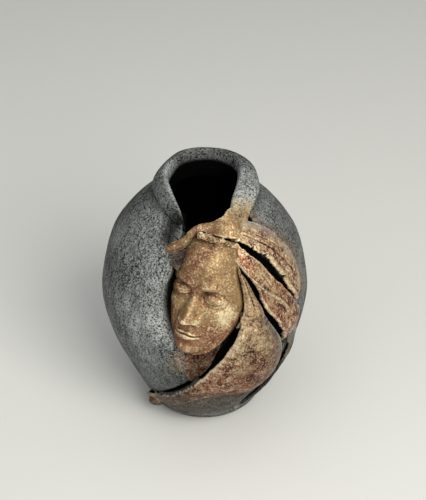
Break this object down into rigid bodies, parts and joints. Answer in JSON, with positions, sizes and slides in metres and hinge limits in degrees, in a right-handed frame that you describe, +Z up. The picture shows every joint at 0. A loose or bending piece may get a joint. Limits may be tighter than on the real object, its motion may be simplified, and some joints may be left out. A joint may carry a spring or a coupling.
{
  "type": "face vase",
  "caption": "Hand-built clay vase with a rolled collar and a pressed-in front recess that holds a calm hooded face in copper and gold wax.",
  "frame": {"origin": "on the table, at the centre of the flat foot under the pot's axis", "axes": "+Z up along the pot's axis, -Y towards the front, where the face looks out, +X to the viewer's right"},
  "size_m": [0.128, 0.1342, 0.1667],
  "materials": {
    "charcoal_clay": "satin black-grey clay, dry-brushed with silver",
    "gold_wax_clay": "rubbed gold and copper metallic wax over dark clay",
    "copper_wax_clay": "rubbed copper and rose metallic wax over dark clay",
    "bronze_stained_clay": "dark clay with a thin rub of bronze wax"
  },
  "bodies": {
    "root": {"vessel_wall": "charcoal_clay", "floor_slab": "charcoal_clay", "collar": "charcoal_clay", "face": "gold_wax_clay", "neck": "copper_wax_clay", "hood_crown": "gold_wax_clay", "hood_arm": "gold_wax_clay", "brow_band": "copper_wax_clay", "left_scrap": "bronze_stained_clay", "inner_flap": "bronze_stained_clay", "outer_veil": "copper_wax_clay", "middle_veil": "copper_wax_clay", "cheek_fold": "copper_wax_clay", "chin_wrap": "copper_wax_clay", "foot_fold": "bronze_stained_clay", "base_wrap": "bronze_stained_clay", "tail_curl": "copper_wax_clay"}
  },
  "joints": []
}
